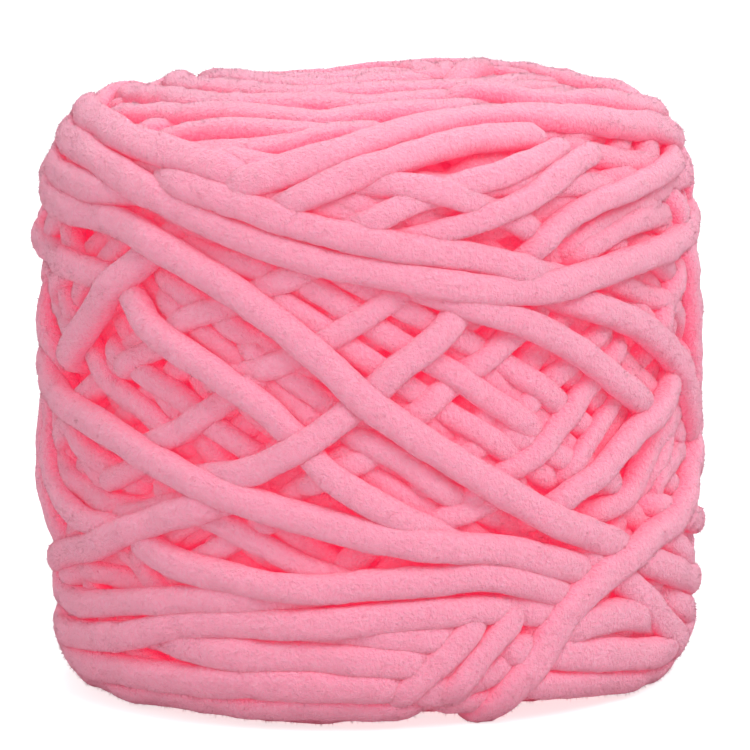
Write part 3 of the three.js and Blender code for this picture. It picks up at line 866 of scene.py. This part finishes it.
def add_node(tree, kind, values=None, **settings):
    """A new shader node with these input values and settings."""
    node = tree.nodes.new(kind)
    for name, value in settings.items():
        setattr(node, name, value)
    set_inputs(node, values or {})
    return node


def link(tree, links):
    """Links nodes. Each link is a node, its output, the next node and its input."""
    for source, output, target, name in links:
        tree.links.new(source.outputs[output], target.inputs[name])


plush = bpy.data.materials.new("plush yarn")
plush.use_nodes = True
tree = plush.node_tree
skin = tree.nodes["Principled BSDF"]
set_inputs(skin, {
    "Roughness": 1.0,
    "Diffuse Roughness": 1.0,
    "Specular IOR Level": 0.1,
    "Sheen Weight": 0.5,
    "Sheen Roughness": 0.5,
    "Sheen Tint": (1, 0.75, 0.82, 1),
    "Subsurface Weight": 0.25,
    "Subsurface Radius": (1, 0.25, 0.35),
    "Subsurface Scale": 0.002,
    "Emission Strength": 1.0,
})
# Painted shade and glow: as the openness falls, the colour goes from plain pink to the deep pink of the gaps,
# and the red glow rises from its open level to its level in shut gaps.
painted_glow_shut, painted_glow_open = ([part * level for part in PAINTED_GLOW] + [1] for level in (PAINTED_GLOW_SHUT, PAINTED_GLOW_OPEN))
where = add_node(tree, "ShaderNodeTexCoord")
openness = add_node(tree, "ShaderNodeAttribute", attribute_name="openness")
side = add_node(tree, "ShaderNodeMapRange", {"From Min": -0.25}, interpolation_type="SMOOTHSTEP")
mottle = add_node(tree, "ShaderNodeTexNoise", {"Scale": MOTTLE_SCALE, "Detail": 3, "Roughness": 0.7})
spread = add_node(tree, "ShaderNodeMapRange", {"From Min": 0.35, "From Max": 0.65, "To Max": 0.6})
body = add_node(tree, "ShaderNodeMix", {COLOUR_A: PINK_PAINTED_SHADE, COLOUR_B: PINK}, data_type="RGBA")
tips = add_node(tree, "ShaderNodeMix", {COLOUR_B: PINK_TIP}, data_type="RGBA")
glow = add_node(tree, "ShaderNodeMix", {COLOUR_A: painted_glow_shut, COLOUR_B: painted_glow_open}, data_type="RGBA")
bumps = add_node(tree, "ShaderNodeBump", {"Strength": 1.0, "Distance": 0.001})
link(tree, [
    (where, "Object", mottle, "Vector"),
    (openness, "Fac", side, "Value"),
    (side, "Result", body, 0),
    (side, "Result", glow, 0),
    (mottle, "Fac", spread, "Value"),
    (spread, "Result", tips, 0),
    (body, COLOUR_OUT, tips, COLOUR_A),
    (tips, COLOUR_OUT, skin, "Base Color"),
    (glow, COLOUR_OUT, skin, "Emission Color"),
    (mottle, "Fac", bumps, "Height"),
    (bumps, "Normal", skin, "Normal"),
])
print("made the material", plush.name)

# %% [markdown]
# ## Making the pieces
#
# The layers become pieces of their own, each under two hundred thousand triangles. Coarse tufts make
# each strand a little uneven, and finer ones over them keep its outline from looking like rubber.

# %% Make the pieces
TUFTS = [(4.0, 0.4), (1.4, 0.2)]  # size and rise in mm
for layer in LAYERS:
    chosen = [n for n, s in enumerate(strands) if s["layer"] == layer]
    yarn = strands_to_mesh("yarn_" + layer, chosen)
    for size, rise in TUFTS:
        tuft(yarn, size, rise)
    finish_piece(yarn)

# %% [markdown]
# ## The pile
#
# What makes plush look like plush is its pile: short soft fibres that stand up all over the yarn and
# blur its edges. Only the fibres that can be seen from outside are worth making. Each is the simplest
# closed shape there is, a thin spike of four triangles, with its foot sunk into the yarn. They are
# scattered evenly by area, and every one leans its own way. Real pile is so dense that it is lit as
# one soft surface, so each spike's shading normals are those of the yarn that it stands on.

# %% Find where the pile stands
FIBRES = 80000
TRIES = 7  # places tried for each fibre, because many are shut in
CLEAR = 8.0  # how far out nothing may lie over a fibre, in mm
SKIN = 0.1  # how far out from the yarn that search starts, in mm
LEAST_OPENNESS = 0.3
# A fibre counts as less open than the yarn under it, so it takes a little more painted shade and glow.
FIBRE_DEEPER = 0.1  # how much less open a fibre counts than the yarn under it
SPINE_LOW, SPINE_HIGH = 0.03, 0.07  # the middle line of the ball, in metres


def skin_of(pieces):
    """The corners, triangles, normals and openness of some pieces, joined, as arrays."""
    columns = [[], [], [], []]
    first = 0
    for piece in pieces:
        data = piece.data
        data.calc_loop_triangles()
        columns[0].append(read(data.vertices, "co", 3))
        columns[1].append(read(data.loop_triangles, "vertices", 3, int) + first)
        columns[2].append(read(data.vertices, "normal", 3))
        columns[3].append(read(data.attributes["openness"].data, "value", 1))
        first += len(data.vertices)
    return [np.vstack(column) for column in columns]


def unit(ways):
    """The same directions, one long."""
    return ways / np.linalg.norm(ways, axis=1, keepdims=True)


def find_feet(places, rows, normals, openness, count):
    """Even random feet on the open side of the yarn: their places, ways up and openness."""
    a, b, c = (places[rows[:, n]] for n in range(3))
    area = np.linalg.norm(np.cross(b - a, c - a), axis=1)
    chosen = rng.choice(len(rows), count, p=area / area.sum())
    u, v = rng.random((2, count, 1))
    folded = (u + v) > 1
    u, v = np.where(folded, 1 - u, u), np.where(folded, 1 - v, v)
    blend = [values[rows[chosen, 0]] * (1 - u - v) + values[rows[chosen, 1]] * u + values[rows[chosen, 2]] * v
             for values in (places, normals, openness)]
    foot, way = blend[0], unit(blend[1])
    cover = BVHTree.FromPolygons(places.tolist(), rows.tolist())
    spine = np.clip(foot[:, 2:], SPINE_LOW, SPINE_HIGH) * np.array([0, 0, 1])
    free_way = unit(way + unit(foot - spine))
    is_open = [cover.ray_cast(Vector(start), Vector(out), CLEAR * MM)[0] is None
               for start, out in zip(foot + way * SKIN * MM, free_way)]
    is_open = np.array(is_open) & (blend[2][:, 0] > LEAST_OPENNESS)
    return foot[is_open], way[is_open], blend[2][is_open] - FIBRE_DEEPER


seen_pieces = [bpy.data.objects["yarn_" + layer] for layer in LAYERS if layer not in ("heart", "under")]
foot, way, openness = find_feet(*skin_of(seen_pieces), FIBRES * TRIES)
print(len(foot), "open places")

# %% Grow the pile
FIBRE_LENGTH, FIBRE_WIDTH = 0.68, 0.1
SHORTEST, LONGEST = 0.5, 1.2  # as shares of that length
FIBRE_LEAN = 0.48  # how much each leans at random, as a share of its length
LEAST_UPRIGHT = 0.2  # a fibre that leans past this cosine stands upright instead
FOOT_DEPTH = 0.12  # how far a fibre's foot is sunk into the yarn, in mm


def grow_pile(name, foot, way, openness):
    """Makes one mesh of leaning spikes that catch the light as the yarn under them does."""
    lean = unit(way + rng.normal(0, FIBRE_LEAN, foot.shape))
    lean = np.where((lean * way).sum(axis=1, keepdims=True) < LEAST_UPRIGHT, way, lean)
    across = unit(np.cross(lean, rng.normal(0, 1, foot.shape)))
    beside = np.cross(lean, across)
    half = FIBRE_WIDTH / 2 * MM
    base = foot - way * FOOT_DEPTH * MM
    corners = [base + half * (across * math.cos(t) + beside * math.sin(t)) for t in np.radians((0, 120, 240))]
    corners.append(foot + lean * FIBRE_LENGTH * rng.uniform(SHORTEST, LONGEST, (len(foot), 1)) * MM)
    corners = np.stack(corners, axis=1).reshape(-1, 3)
    first = 4 * np.arange(len(foot))[:, None, None]
    faces = first + np.array([[0, 2, 1], [0, 1, 3], [1, 2, 3], [2, 0, 3]])
    data = bpy.data.meshes.new(name)
    data.from_pydata(corners.tolist(), [], faces.reshape(-1, 3).tolist())
    data.attributes.new("openness", "FLOAT", "POINT").data.foreach_set("value", np.repeat(openness, 4))
    pile = bpy.data.objects.new(name, data)
    bpy.context.collection.objects.link(pile)
    finish_piece(pile)
    data.normals_split_custom_set_from_vertices(np.repeat(way, 4, axis=0).tolist())


half_way = min(len(foot), FIBRES) // 2
for name, rows in (("pile_one", slice(0, half_way)), ("pile_two", slice(half_way, 2 * half_way))):
    grow_pile(name, foot[rows], way[rows], openness[rows])

# %% [markdown]
# ## The packed middle
#
# Under all the layers the ball is packed so tight that no single strand shows. A sphere whose
# corners are moved to the barrel's outline, a little way in, closes whatever gap is left.

# %% Make the packed middle
PACKED = 13.0  # how deep it lies under the barrel's outline, in mm
bpy.ops.object.select_all(action="DESELECT")
bpy.ops.mesh.primitive_uv_sphere_add(segments=48, ring_count=24, radius=1, location=(0, 0, 0))
middle = bpy.context.object
middle.name = "yarn_middle"
for corner in middle.data.vertices:
    share = math.acos(max(-1, min(1, -corner.co.z))) / math.pi
    turn = math.degrees(math.atan2(corner.co.x, -corner.co.y))
    place, _ = on_ball(turn, share * ALONG[-1], -PACKED)
    corner.co = Vector(place) * MM
finish_piece(middle)

# %% [markdown]
# ## The studio
#
# A pale floor runs under the ball, and soft light comes from all round, with more from above and to
# the right. The floor and the background are white only where the camera looks straight at them, so
# no extra light falls on the yarn.

# %% Light and floor
PAPER = (0.6, 0.6, 0.6, 1)
PAPER_SEEN = 0.72  # how much brighter the camera sees the paper
SKY_LIGHT, SKY_SEEN = 0.6, 1.0
bpy.ops.object.select_all(action="DESELECT")
bpy.ops.mesh.primitive_plane_add(size=30, location=(0, 0, 0))
floor = bpy.context.object
floor.name = "floor"
paper = bpy.data.materials.new("white paper")
paper.use_nodes = True
tree = paper.node_tree
skin = tree.nodes["Principled BSDF"]
set_inputs(skin, {"Base Color": PAPER, "Roughness": 1, "Emission Color": (1, 1, 1, 1)})
seen = add_node(tree, "ShaderNodeLightPath")
glow = add_node(tree, "ShaderNodeMath", {1: PAPER_SEEN}, operation="MULTIPLY")
link(tree, [(seen, "Is Camera Ray", glow, 0), (glow, 0, skin, "Emission Strength")])
floor.data.materials.append(paper)

LAMPS = [
    # name, place in metres, side in metres, watts
    ("key", (0.55, -0.75, 0.95), 0.7, 9.1),
    ("fill", (-0.9, -0.8, 0.45), 0.9, 2.2),
    ("above", (0.05, 0.4, 1.2), 0.9, 8.6),
]
for name, place, side, watts in LAMPS:
    bpy.ops.object.light_add(type="AREA")
    lamp = bpy.context.object
    lamp.name = name
    lamp.data.size = side
    lamp.data.energy = watts
    point_at(lamp, Vector(place), Vector((0, 0, 0.05)))

world = bpy.data.worlds.new("studio")
bpy.context.scene.world = world
world.use_nodes = True
tree = world.node_tree
sky = tree.nodes["Background"]
set_inputs(sky, {"Color": (1, 1, 1, 1)})
seen = add_node(tree, "ShaderNodeLightPath")
level = add_node(tree, "ShaderNodeMapRange", {"To Min": SKY_LIGHT, "To Max": SKY_SEEN})
link(tree, [(seen, "Is Camera Ray", level, "Value"), (level, "Result", sky, "Strength")])
bpy.context.scene.view_settings.view_transform = "Standard"
bpy.context.scene.cycles.max_bounces = 16
bpy.context.scene.cycles.diffuse_bounces = 12
